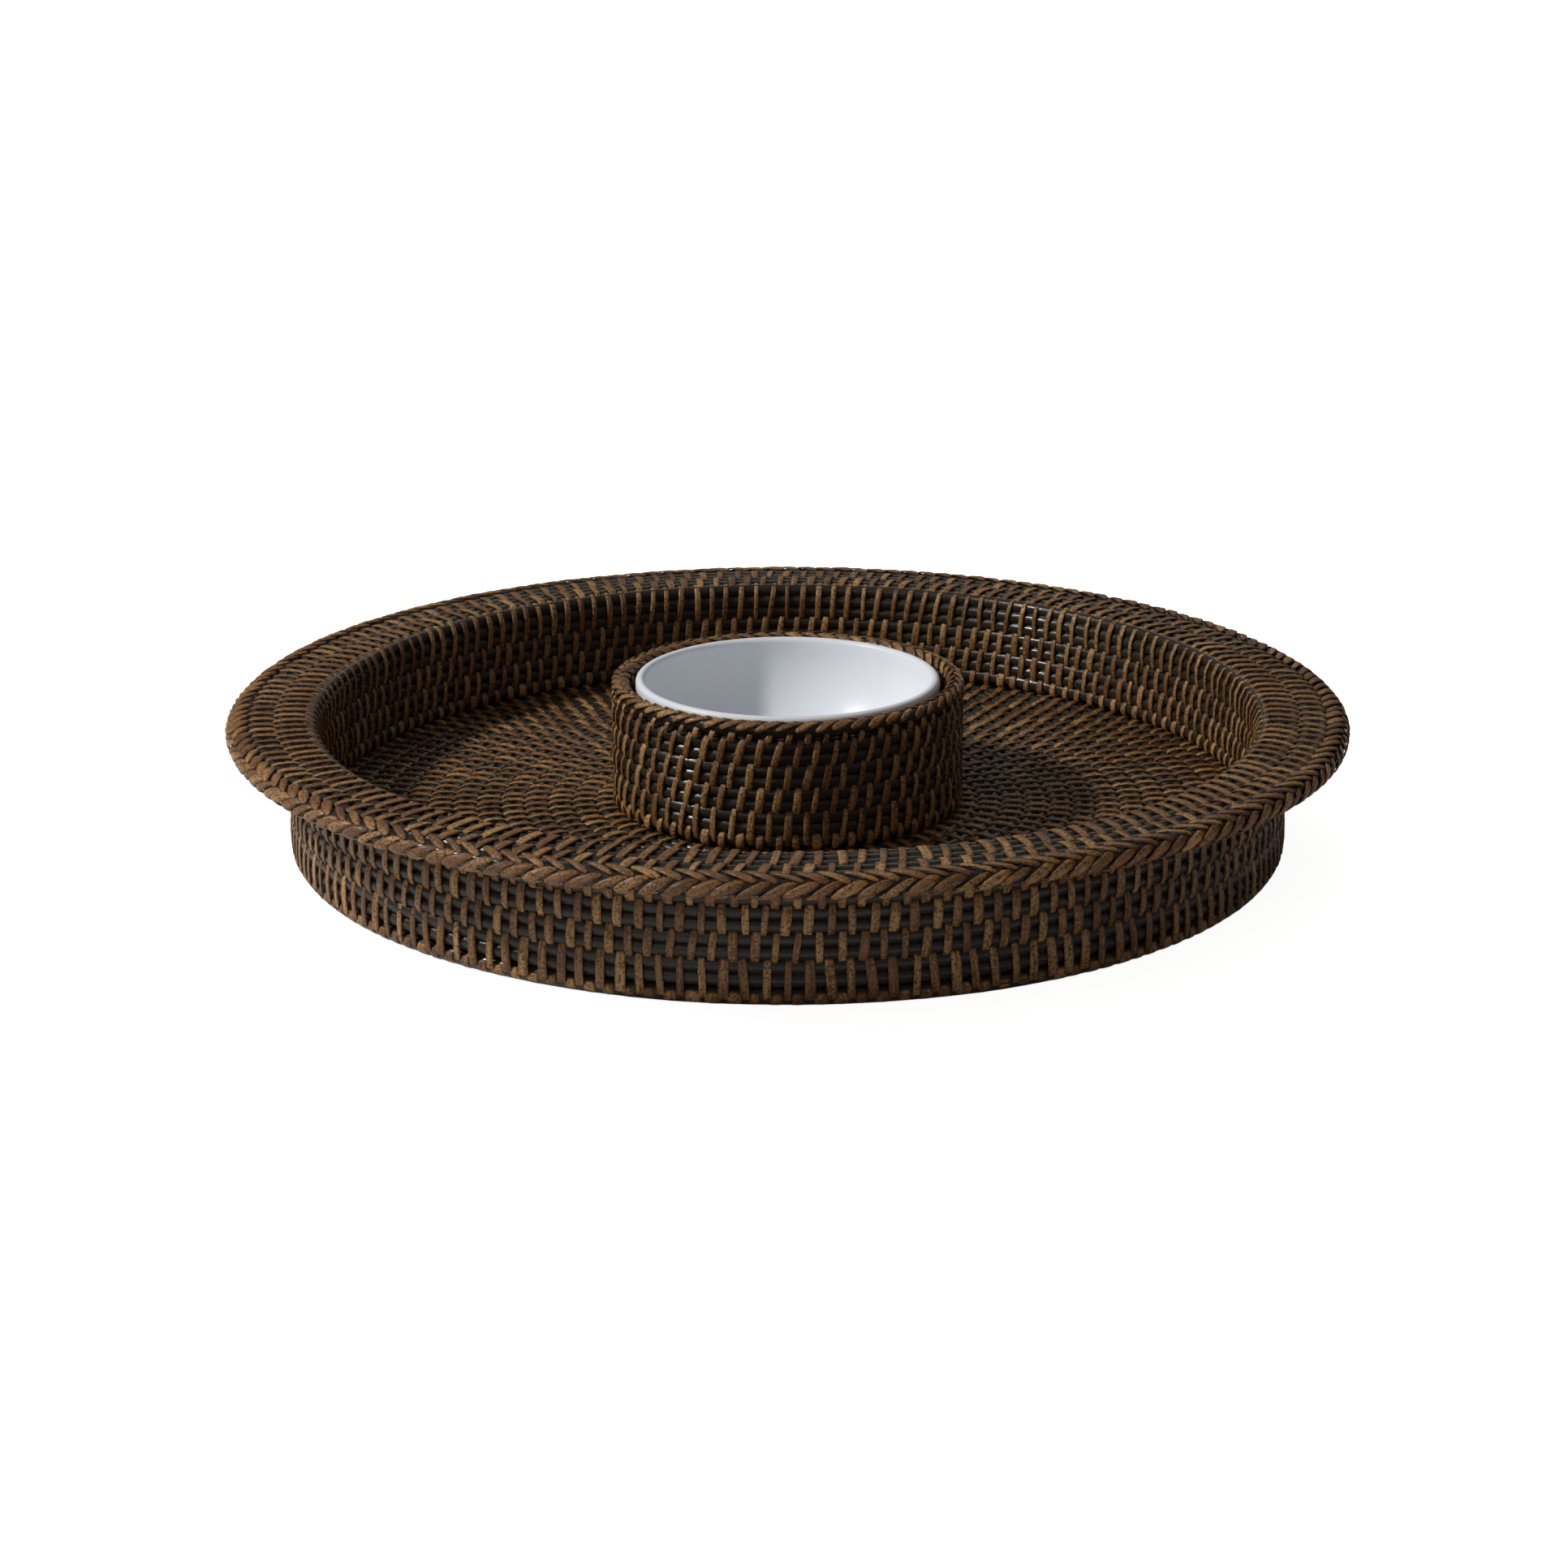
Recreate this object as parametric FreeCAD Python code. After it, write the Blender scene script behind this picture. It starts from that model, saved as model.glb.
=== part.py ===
"""Chip and dip server: a round tray woven from lashed cane, with a dip bowl in a woven collar.

Every woven wall is a stack of courses. A course is two canes laid side by side and lashed
together, so its section is a block with two rounded lobes on each side that shows.
Millimetres, +Z up. The origin is the centre of the circle that the tray stands on.
"""
import FreeCAD, Part
import os

# Tray, outside
RIM_RADIUS = 203.0          # outer edge of the rim's braid
TRAY_HEIGHT = 50.5          # table to the top of the rim
SKIRT_RADIUS = 182.0        # outer face of the outer wall
WALL_THICKNESS = 6.25       # one wall of lashed canes; the tray's side is two of them, back to back
RIM_THICKNESS = 7.5
EDGE_BRAID_SIZE = 7.5       # width and height of the braid round the rim
EDGE_BRAID_DROP = 0.0       # how far the braid hangs below the rim's underside
FOOT_HEIGHT = 6.6           # table to the underside of the floor
FOOT_ROUNDING = 4.0

# Tray, inside
FLOOR_THICKNESS = 5.5
CORNER_RISE = 5.5           # height of the course in the corner of floor and wall
SHOULDER_HEIGHT = 14.9      # top course of the inner wall, which turns over into the rim
SHOULDER_ROUNDING = 6.0

# Collar round the dip bowl
COLLAR_THICKNESS = 6.5
COLLAR_BASE_RISE = 5.5
COLLAR_BRAID_HEIGHT = 6.5

# Dip bowl
BOWL_RADIUS = 55.6
BOWL_HEIGHT = 46.0
BOWL_CLEARANCE = 2.4        # radial gap between the bowl's lip and the collar
BOWL_SEAT_GAP = 0.3         # between the bowl's foot and the crests of the floor
BOWL_LIP_PROUD = 0.3        # how far the lip stands above the collar
BOWL_WALL = 3.5
BOWL_BASE_THICKNESS = 4.0
BOWL_LIP_DEPTH = 4.0        # upright band below the lip
BOWL_FOOT_RADIUS = 30.0
BOWL_FOOT_WIDTH = 4.0
BOWL_FOOT_HEIGHT = 3.0
BOWL_FOOT_RECESS = 2.0      # how far the base inside the foot ring is raised off the floor

# Weave
CANES_PER_COURSE = 2
CANE_SWELL = 0.8            # how far a cane's crest stands out from the line between canes
FLOOR_COURSES = 20
SKIRT_COURSES = 4
WELL_COURSES = 2
RIM_COURSES = 2
COLLAR_COURSES = 4

# Levels and radii that follow from the sizes above
WALL_MIDDLE_RADIUS = SKIRT_RADIUS - WALL_THICKNESS
WELL_RADIUS = WALL_MIDDLE_RADIUS - WALL_THICKNESS
FLOOR_TOP = FOOT_HEIGHT + FLOOR_THICKNESS
RIM_UNDERSIDE = TRAY_HEIGHT - RIM_THICKNESS
BRAID_INNER_RADIUS = RIM_RADIUS - EDGE_BRAID_SIZE
COLLAR_BORE = BOWL_RADIUS + BOWL_CLEARANCE
COLLAR_RADIUS = COLLAR_BORE + COLLAR_THICKNESS
BOWL_SEAT = FLOOR_TOP + BOWL_SEAT_GAP
BOWL_TOP = BOWL_SEAT + BOWL_HEIGHT
COLLAR_TOP = BOWL_TOP - BOWL_LIP_PROUD


def point(radius, height):
    """A point of a ring's section, in the plane through the axis."""
    return FreeCAD.Vector(radius, 0, height)


def straight(start, end):
    """A plain side of a section."""
    return [Part.LineSegment(start, end).toShape()]


def lobed(start, end):
    """A side of a section with one lobe for each cane, swelling to the right of the way it runs."""
    step = (end - start) / CANES_PER_COURSE
    outward = FreeCAD.Vector(step.z, 0, -step.x).normalize() * CANE_SWELL
    edges = []
    for index in range(CANES_PER_COURSE):
        low = start + step * index
        edges.append(Part.Arc(low, low + step / 2 + outward, low + step).toShape())
    return edges


def ring(edges):
    """The solid that a closed section sweeps in one turn about the axis."""
    face = Part.Face(Part.Wire(edges))
    return face.revolve(FreeCAD.Vector(0, 0, 0), FreeCAD.Vector(0, 0, 1), 360)


def wall_course(inner, outer, bottom, top, inner_lobed, outer_lobed):
    """One course of an upright wall. A lobed side's crests reach the radius given for it."""
    inner_line = inner + CANE_SWELL if inner_lobed else inner
    outer_line = outer - CANE_SWELL if outer_lobed else outer
    outside = lobed if outer_lobed else straight
    inside = lobed if inner_lobed else straight
    edges = straight(point(inner_line, bottom), point(outer_line, bottom))
    edges += outside(point(outer_line, bottom), point(outer_line, top))
    edges += straight(point(outer_line, top), point(inner_line, top))
    edges += inside(point(inner_line, top), point(inner_line, bottom))
    return ring(edges)


def flat_course(inner, outer, bottom, top, bottom_lobed):
    """One course of a flat panel, lobed on top and, where it shows, underneath."""
    bottom_line = bottom + CANE_SWELL if bottom_lobed else bottom
    top_line = top - CANE_SWELL
    start = point(inner, bottom_line)
    end = point(outer, bottom_line)
    edges = lobed(start, end) if bottom_lobed else straight(start, end)
    edges += straight(end, point(outer, top_line))
    edges += lobed(point(outer, top_line), point(inner, top_line))
    edges += straight(point(inner, top_line), start)
    return ring(edges)


def levels(bottom, top, count):
    """The lower and upper limit of each of count equal courses."""
    pitch = (top - bottom) / count
    return [(bottom + pitch * index, bottom + pitch * (index + 1)) for index in range(count)]


def floor_courses():
    """The floor: rings of lashed cane round a flat button at the centre."""
    limits = levels(0, WALL_MIDDLE_RADIUS, FLOOR_COURSES)
    button_radius = limits[0][1]
    courses = {"floor_centre": wall_course(0, button_radius, FOOT_HEIGHT, FLOOR_TOP, False, False)}
    for number, (inner, outer) in enumerate(limits[1:], 1):
        courses["floor_course_%02d" % number] = flat_course(
            inner, outer, FOOT_HEIGHT, FLOOR_TOP, True)
    return courses


def foot_course():
    """The ring the tray stands on, rounded at its outer edge, under the floor and the skirt."""
    turn = FOOT_ROUNDING * (1 - 0.5 ** 0.5)
    edges = straight(point(WELL_RADIUS, 0), point(SKIRT_RADIUS - FOOT_ROUNDING, 0))
    edges.append(Part.Arc(point(SKIRT_RADIUS - FOOT_ROUNDING, 0),
                          point(SKIRT_RADIUS - turn, turn),
                          point(SKIRT_RADIUS, FOOT_ROUNDING)).toShape())
    edges += straight(point(SKIRT_RADIUS, FOOT_ROUNDING), point(SKIRT_RADIUS, FOOT_HEIGHT))
    edges += straight(point(SKIRT_RADIUS, FOOT_HEIGHT), point(WELL_RADIUS, FOOT_HEIGHT))
    edges += straight(point(WELL_RADIUS, FOOT_HEIGHT), point(WELL_RADIUS, 0))
    return ring(edges)


def skirt_courses():
    """The outer wall, from the foot to the underside of the rim."""
    courses = {}
    for number, (low, high) in enumerate(levels(FOOT_HEIGHT, RIM_UNDERSIDE, SKIRT_COURSES), 1):
        courses["skirt_course_%d" % number] = wall_course(
            WALL_MIDDLE_RADIUS, SKIRT_RADIUS, low, high, False, True)
    return courses


def shoulder_course(bottom):
    """The top of the inner wall, rounded over to meet the rim."""
    turn = SHOULDER_ROUNDING * (1 - 0.5 ** 0.5)
    upright_top = TRAY_HEIGHT - SHOULDER_ROUNDING
    edges = straight(point(WELL_RADIUS, bottom), point(WALL_MIDDLE_RADIUS, bottom))
    edges += straight(point(WALL_MIDDLE_RADIUS, bottom), point(WALL_MIDDLE_RADIUS, TRAY_HEIGHT))
    edges += straight(point(WALL_MIDDLE_RADIUS, TRAY_HEIGHT),
                      point(WELL_RADIUS + SHOULDER_ROUNDING, TRAY_HEIGHT))
    edges.append(Part.Arc(point(WELL_RADIUS + SHOULDER_ROUNDING, TRAY_HEIGHT),
                          point(WELL_RADIUS + turn, TRAY_HEIGHT - turn),
                          point(WELL_RADIUS, upright_top)).toShape())
    edges += straight(point(WELL_RADIUS, upright_top), point(WELL_RADIUS, bottom))
    return ring(edges)


def well_courses():
    """The inner wall: a low corner course, the plain courses and the shoulder."""
    corner_top = FLOOR_TOP + CORNER_RISE
    shoulder_bottom = TRAY_HEIGHT - SHOULDER_HEIGHT
    courses = {"corner_course": wall_course(
        WELL_RADIUS, WALL_MIDDLE_RADIUS, FLOOR_TOP, corner_top, True, False)}
    for number, (low, high) in enumerate(levels(corner_top, shoulder_bottom, WELL_COURSES), 1):
        courses["well_course_%d" % number] = wall_course(
            WELL_RADIUS, WALL_MIDDLE_RADIUS, low, high, True, False)
    courses["shoulder_course"] = shoulder_course(shoulder_bottom)
    return courses


def rim_courses():
    """The flat rim, which overhangs the skirt."""
    courses = {}
    limits = levels(WALL_MIDDLE_RADIUS, BRAID_INNER_RADIUS, RIM_COURSES)
    for number, (inner, outer) in enumerate(limits, 1):
        courses["rim_course_%d" % number] = flat_course(
            inner, outer, RIM_UNDERSIDE, TRAY_HEIGHT, False)
    return courses


def edge_braid():
    """The braid that finishes the rim: flat where it meets the rim, round outside."""
    bottom = RIM_UNDERSIDE - EDGE_BRAID_DROP
    radius = (TRAY_HEIGHT - bottom) / 2
    round_start = RIM_RADIUS - radius
    edges = straight(point(BRAID_INNER_RADIUS, bottom), point(round_start, bottom))
    edges.append(Part.Arc(point(round_start, bottom), point(RIM_RADIUS, bottom + radius),
                          point(round_start, TRAY_HEIGHT)).toShape())
    edges += straight(point(round_start, TRAY_HEIGHT), point(BRAID_INNER_RADIUS, TRAY_HEIGHT))
    edges += straight(point(BRAID_INNER_RADIUS, TRAY_HEIGHT), point(BRAID_INNER_RADIUS, bottom))
    return ring(edges)


def collar_braid(bottom):
    """The braid on the collar, rounded over the top."""
    radius = COLLAR_THICKNESS / 2
    round_start = COLLAR_TOP - radius
    edges = straight(point(COLLAR_BORE, bottom), point(COLLAR_RADIUS, bottom))
    edges += straight(point(COLLAR_RADIUS, bottom), point(COLLAR_RADIUS, round_start))
    edges.append(Part.Arc(point(COLLAR_RADIUS, round_start),
                          point(COLLAR_BORE + radius, COLLAR_TOP),
                          point(COLLAR_BORE, round_start)).toShape())
    edges += straight(point(COLLAR_BORE, round_start), point(COLLAR_BORE, bottom))
    return ring(edges)


def collar_courses():
    """The collar that holds the dip bowl in the middle of the floor."""
    base_top = FLOOR_TOP + COLLAR_BASE_RISE
    braid_bottom = COLLAR_TOP - COLLAR_BRAID_HEIGHT
    courses = {"collar_base": wall_course(
        COLLAR_BORE, COLLAR_RADIUS, FLOOR_TOP, base_top, False, False)}
    for number, (low, high) in enumerate(levels(base_top, braid_bottom, COLLAR_COURSES), 1):
        courses["collar_course_%d" % number] = wall_course(
            COLLAR_BORE, COLLAR_RADIUS, low, high, True, True)
    courses["collar_braid"] = collar_braid(braid_bottom)
    return courses


def arc_about(centre, radius, start, end):
    """An arc about a centre between two points of it, by the shorter way."""
    middle = (start - centre) + (end - centre)
    return Part.Arc(start, centre + middle.normalize() * radius, end).toShape()


def dip_bowl():
    """The glazed bowl: upright at the lip, curving in to a foot ring that stands on the floor."""
    lip_radius = BOWL_WALL / 2
    lip_start = BOWL_TOP - lip_radius
    curve_top = BOWL_TOP - BOWL_LIP_DEPTH
    inner_radius = BOWL_RADIUS - BOWL_WALL
    foot_top = BOWL_SEAT + BOWL_FOOT_HEIGHT
    base_underside = BOWL_SEAT + BOWL_FOOT_RECESS
    inside_bottom = base_underside + BOWL_BASE_THICKNESS
    foot_inner = BOWL_FOOT_RADIUS - BOWL_FOOT_WIDTH
    # the outside curve is upright at the lip and passes through the top of the foot ring
    reach = BOWL_RADIUS - BOWL_FOOT_RADIUS
    fall = curve_top - foot_top
    outer_curve = (reach ** 2 + fall ** 2) / (2 * reach)
    outer_centre = point(BOWL_RADIUS - outer_curve, curve_top)
    # the inside curve is upright at the lip and level at the bottom
    inner_curve = curve_top - inside_bottom
    inner_centre = point(inner_radius - inner_curve, curve_top)

    edges = straight(point(0, base_underside), point(foot_inner, base_underside))
    edges += straight(point(foot_inner, base_underside), point(foot_inner, BOWL_SEAT))
    edges += straight(point(foot_inner, BOWL_SEAT), point(BOWL_FOOT_RADIUS, BOWL_SEAT))
    edges += straight(point(BOWL_FOOT_RADIUS, BOWL_SEAT), point(BOWL_FOOT_RADIUS, foot_top))
    edges.append(arc_about(outer_centre, outer_curve, point(BOWL_FOOT_RADIUS, foot_top),
                           point(BOWL_RADIUS, curve_top)))
    edges += straight(point(BOWL_RADIUS, curve_top), point(BOWL_RADIUS, lip_start))
    edges.append(Part.Arc(point(BOWL_RADIUS, lip_start), point(BOWL_RADIUS - lip_radius, BOWL_TOP),
                          point(inner_radius, lip_start)).toShape())
    edges += straight(point(inner_radius, lip_start), point(inner_radius, curve_top))
    edges.append(arc_about(inner_centre, inner_curve, point(inner_radius, curve_top),
                           point(inner_radius - inner_curve, inside_bottom)))
    edges += straight(point(inner_radius - inner_curve, inside_bottom), point(0, inside_bottom))
    edges += straight(point(0, inside_bottom), point(0, base_underside))
    return ring(edges)


def build():
    """Every node of the server, by name."""
    nodes = {"foot_course": foot_course()}
    nodes.update(floor_courses())
    nodes.update(skirt_courses())
    nodes.update(well_courses())
    nodes.update(rim_courses())
    nodes["edge_braid"] = edge_braid()
    nodes.update(collar_courses())
    nodes["dip_bowl"] = dip_bowl()
    return nodes


os.makedirs("parts", exist_ok=True)
for node_name, node_shape in build().items():
    node_shape.exportStep("parts/%s.step" % node_name)
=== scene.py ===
"""A woven cane chip tray with a glazed dip bowl in its middle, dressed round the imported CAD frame."""

import math

import bmesh
import bpy
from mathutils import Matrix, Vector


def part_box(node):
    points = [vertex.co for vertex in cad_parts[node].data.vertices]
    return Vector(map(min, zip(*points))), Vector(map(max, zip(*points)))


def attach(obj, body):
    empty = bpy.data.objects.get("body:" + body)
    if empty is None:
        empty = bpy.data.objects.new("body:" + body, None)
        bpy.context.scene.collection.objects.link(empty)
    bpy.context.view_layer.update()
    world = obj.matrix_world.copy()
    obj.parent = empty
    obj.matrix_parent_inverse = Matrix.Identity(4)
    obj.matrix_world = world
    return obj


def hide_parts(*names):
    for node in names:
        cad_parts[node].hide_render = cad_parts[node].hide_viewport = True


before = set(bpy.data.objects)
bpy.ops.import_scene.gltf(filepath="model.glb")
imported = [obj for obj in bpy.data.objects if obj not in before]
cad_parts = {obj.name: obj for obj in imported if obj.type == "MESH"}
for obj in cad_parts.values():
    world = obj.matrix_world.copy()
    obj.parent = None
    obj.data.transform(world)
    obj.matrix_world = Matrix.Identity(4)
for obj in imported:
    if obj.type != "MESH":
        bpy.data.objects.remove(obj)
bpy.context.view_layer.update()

bl_info = {
    "name": "Woven Chip and Dip Server",
    "version": (1, 0, 0),
    "blender": (4, 5, 0),
    "location": "3D View > Sidebar > Weave",
    "description": "Weaves the cane tray and its collar, and turns the glazed dip bowl",
    "category": "Object",
}

MM = 0.001
TRAY_BODY = "tray"
BOWL_BODY = "dip_bowl"


# ---- sizes read from the frame


def courses(prefix):
    """The CAD nodes of one part of the weave, in order."""
    return sorted(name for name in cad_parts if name.startswith(prefix))


def outer_radius(node):
    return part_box(node)[1].x


def inner_radius(node):
    return min(math.hypot(v.co.x, v.co.y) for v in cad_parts[node].data.vertices)


def low(node):
    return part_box(node)[0].z


def high(node):
    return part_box(node)[1].z


SKIRT = courses("skirt_course")
WELL = courses("well_course")
RIM = courses("rim_course")
COLLAR = courses("collar_course")
FLOOR = ["floor_centre"] + courses("floor_course")

SKIRT_RADIUS = outer_radius(SKIRT[0])
WELL_RADIUS = inner_radius(WELL[0])
RIM_RADIUS = outer_radius(RIM[-1])
TRAY_RADIUS = outer_radius("edge_braid")
COLLAR_RADIUS = outer_radius(COLLAR[0])
COLLAR_HOLE = inner_radius(COLLAR[0])
FLOOR_TOP = high(FLOOR[-1])
FLOOR_UNDER = low(FLOOR[-1])
FOOT_TOP = high("foot_course")
RIM_UNDER = low(RIM[0])
RIM_TOP = high(RIM[0])
SHOULDER_ROUND = 6 * MM
FOOT_ROUND = 4 * MM
# how far the collar's plait stands over its CAD course
PLAIT_RISE = 0.7 * MM

# a wall cane's radius, as a share of the distance between canes
CANE_FULLNESS = 0.64
# how far the canes lie under the peel's outer face, in thicknesses of the peel
CANE_DEPTH = 0.87
# what the peel on both faces of a flat course takes up, in thicknesses of the peel
BOTH_FACES = 1.6
# how far the edge braid's dark core lies under its outer face, in thicknesses of the peel
CORE_DEPTH = 1.9
CANE_WANDER = 0.35 * MM
# lean of the stitches on the inner wall, in radians
WALL_LEAN = -0.09


# ---- settings


def number_setting(name, description, default, **kind):
    return bpy.props.FloatProperty(name=name, description=description, default=default, **kind)


def length_setting(name, description, default):
    return number_setting(name, description, default, unit="LENGTH")


def colour_setting(name, description, default):
    return bpy.props.FloatVectorProperty(
        name=name, description=description, default=default, size=3, subtype="COLOR"
    )


def count_setting(name, description, default, least, most):
    return bpy.props.IntProperty(name=name, description=description, default=default, min=least, max=most)


class WeaveSettings(bpy.types.PropertyGroup):
    """Sizes and colours of the canes and the peel."""

    wall_stitches: count_setting(
        "Wall Stitches", "Stitches in one turn of the walls and the rim", 168, 24, 400
    )
    collar_stitches: count_setting("Collar Stitches", "Stitches in one turn of the collar", 60, 12, 160)
    floor_pitch: length_setting(
        "Floor Pitch", "Distance between neighbouring stitches on the floor", 7.0 * MM
    )
    peel_width: length_setting("Peel Width", "Width of the peel that lashes the canes", 2.9 * MM)
    peel_thickness: length_setting("Peel Thickness", "Thickness of the peel", 0.55 * MM)
    braid_width: length_setting("Braid Peel Width", "Width of the flat peel in the braids", 3.0 * MM)
    overlap: length_setting("Overlap", "How far a stitch runs on into the next course", 0.8 * MM)
    cane_colour: colour_setting("Cane Colour", "Colour of the lacquered canes", (0.025, 0.0205, 0.0138))
    peel_dark: colour_setting("Dark Peel", "Colour of the darkest strips of peel", (0.078, 0.033, 0.011))
    peel_middle: colour_setting("Middle Peel", "Colour of most of the peel", (0.225, 0.100, 0.027))
    peel_pale: colour_setting(
        "Pale Peel", "Colour of the palest and most worn strips of peel", (0.47, 0.26, 0.085)
    )
    peel_rust: colour_setting("Rusty Peel", "Colour that some strips of peel turn to", (0.19, 0.070, 0.019))


class BowlSettings(bpy.types.PropertyGroup):
    """Sizes and colour of the dip bowl."""

    lip_thickness: length_setting("Lip Thickness", "Thickness of the bowl's wall at its lip", 3.5 * MM)
    base_thickness: length_setting(
        "Base Thickness", "Thickness of the bowl's bottom over its foot", 4.0 * MM
    )
    foot_radius: length_setting("Foot Radius", "Outside radius of the bowl's foot ring", 30 * MM)
    glaze_colour: colour_setting("Glaze Colour", "Colour of the glaze", (0.86, 0.885, 0.93))


class StageSettings(bpy.types.PropertyGroup):
    """The camera's place and the lights' strength."""

    camera_distance: length_setting(
        "Camera Distance", "How far in front of the tray's middle the camera stands", 1.1
    )
    camera_height: length_setting("Camera Height", "Height of the camera over the floor", 0.367)
    camera_pitch: number_setting(
        "Camera Pitch", "How far the camera looks down", math.radians(17.67), subtype="ANGLE"
    )
    lens: number_setting("Lens", "Focal length of the camera in millimetres", 71.74)
    key_power: number_setting("Key Light", "Power of the light on the left", 27, unit="POWER")
    room_light: number_setting("Room Light", "Strength of the even white light all round", 0.135)
    floor_glow: number_setting(
        "Floor Glow", "How much whiter the floor is shown than the lights alone make it", 0.91
    )


# ---- node helpers


def wire(tree, node, wires):
    """Fills or links a node's inputs, by name or number; a list links each of its outputs."""
    for key, value in wires.items():
        if isinstance(key, int):
            socket = node.inputs[key]
        else:
            socket = next(s for s in node.inputs if s.name == key and s.enabled)
        for item in value if isinstance(value, list) else [value]:
            if isinstance(item, bpy.types.NodeSocket):
                tree.links.new(item, socket)
            else:
                socket.default_value = item


def put(tree, kind, wires=None, **settings):
    """Adds a node, sets its settings, then fills or links its inputs."""
    made = tree.nodes.new(kind)
    for key, value in settings.items():
        setattr(made, key, value)
    wire(tree, made, wires or {})
    return made


def out(made, name=None):
    """A node's first shown output, or the shown one of that name."""
    return next(s for s in made.outputs if s.enabled and name in (None, s.name))


def geo(tree, kind, wires=None, **settings):
    """Adds a geometry node and gives its first output."""
    return out(put(tree, "GeometryNode" + kind, wires, **settings))


def calc(tree, operation, first, second=0.0, third=0.0):
    wires = {0: first, 1: second, 2: third}
    return out(put(tree, "ShaderNodeMath", wires, operation=operation))


def times(tree, first, second):
    return calc(tree, "MULTIPLY", first, second)


def times_plus(tree, first, second, third):
    return calc(tree, "MULTIPLY_ADD", first, second, third)


def plus(tree, first, second):
    return calc(tree, "ADD", first, second)


def minus(tree, first, second):
    return calc(tree, "SUBTRACT", first, second)


def size_of(tree, value):
    return calc(tree, "ABSOLUTE", value)


def vector_of(tree, x=0.0, y=0.0, z=0.0):
    return out(put(tree, "ShaderNodeCombineXYZ", {"X": x, "Y": y, "Z": z}))


def vector_calc(tree, operation, first, second):
    return out(put(tree, "ShaderNodeVectorMath", {0: first, 1: second}, operation=operation))


def parts_of(tree, vector):
    made = put(tree, "ShaderNodeSeparateXYZ", {"Vector": vector})
    return made.outputs["X"], made.outputs["Y"], made.outputs["Z"]


def random_between(tree, lowest, highest, seed, salt):
    """A random value for each point, the same in every run."""
    wires = {"Min": lowest, "Max": highest, "Seed": plus(tree, seed, salt)}
    return out(put(tree, "FunctionNodeRandomValue", wires, data_type="FLOAT"))


def random_about(tree, spread, seed, salt):
    """A random value for each point, up to the spread either side of nought."""
    return random_between(tree, times(tree, spread, -1.0), spread, seed, salt)


def add_sockets(tree, direction, sockets):
    """Adds a group's sockets, given as their names under each kind."""
    for kind, names in sockets.items():
        for name in names:
            tree.interface.new_socket(name=name, in_out=direction, socket_type="NodeSocket" + kind)


def new_tree(name, **sockets):
    """An empty geometry tree with its group inputs; gives the tree and the input node's outputs."""
    tree = bpy.data.node_groups.new(name, "GeometryNodeTree")
    add_sockets(tree, "INPUT", {"Geometry": ["Geometry"], **sockets})
    add_sockets(tree, "OUTPUT", {"Geometry": ["Geometry"]})
    return tree, tree.nodes.new("NodeGroupInput").outputs


def with_tone(tree, copies, name, seed, salt):
    """Gives each copy its own tone, and makes the copies real."""
    wires = {"Geometry": copies, "Name": name, "Value": random_between(tree, 0.0, 1.0, seed, salt)}
    toned = geo(tree, "StoreNamedAttribute", wires, data_type="FLOAT", domain="INSTANCE")
    return geo(tree, "RealizeInstances", {"Geometry": toned})


def close_tree(tree, entry, woven):
    """Joins the new work to what came in, makes it real, and gives it its material."""
    joined = geo(tree, "JoinGeometry", {"Geometry": [entry["Geometry"], woven]})
    real = geo(tree, "RealizeInstances", {"Geometry": joined})
    painted = geo(tree, "SetMaterial", {"Geometry": real, "Material": entry["Material"]})
    put(tree, "NodeGroupOutput", {0: painted})
    return tree


# ---- weaving trees


def cane_ring_tree():
    """Evenly spaced round canes, one ring each, with the slight wander of real cane."""
    tree, entry = new_tree(
        "Cane Rings",
        Int=("Rings", "Around", "Seed"),
        Float=("First Radius", "Radius Step", "First Height", "Height Step", "Cane Radius", "Wander"),
        Material=("Material",),
    )
    index = geo(tree, "InputIndex")
    height = times_plus(tree, index, entry["Height Step"], entry["First Height"])
    spots = {"Count": entry["Rings"], "Position": vector_of(tree, 0, 0, height)}
    radius = times_plus(tree, index, entry["Radius Step"], entry["First Radius"])
    wires = {
        "Points": geo(tree, "Points", spots),
        "Instance": geo(tree, "CurvePrimitiveCircle", {"Resolution": entry["Around"], "Radius": 1.0}),
        "Scale": vector_of(tree, radius, radius, 1.0),
    }
    hoops = geo(tree, "InstanceOnPoints", wires)
    real = with_tone(tree, hoops, "cane_tone", entry["Seed"], 11)
    # each set of canes wanders its own way
    shift = vector_of(tree, 0, 0, times(tree, entry["Seed"], 0.37))
    place = vector_calc(tree, "ADD", geo(tree, "InputPosition"), shift)
    wires = {"Vector": place, "Scale": 26.0, "Detail": 1.0}
    noise = put(tree, "ShaderNodeTexNoise", wires).outputs["Color"]
    centred = vector_calc(tree, "SUBTRACT", noise, (0.5, 0.5, 0.5))
    wires = {0: centred, "Scale": entry["Wander"]}
    drift = put(tree, "ShaderNodeVectorMath", wires, operation="SCALE")
    moved = geo(tree, "SetPosition", {"Geometry": real, "Offset": out(drift)})
    section = geo(tree, "CurvePrimitiveCircle", {"Resolution": 9, "Radius": entry["Cane Radius"]})
    canes = geo(tree, "CurveToMesh", {"Curve": moved, "Profile Curve": section})
    return close_tree(tree, entry, geo(tree, "SetShadeSmooth", {"Geometry": canes}))


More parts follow.
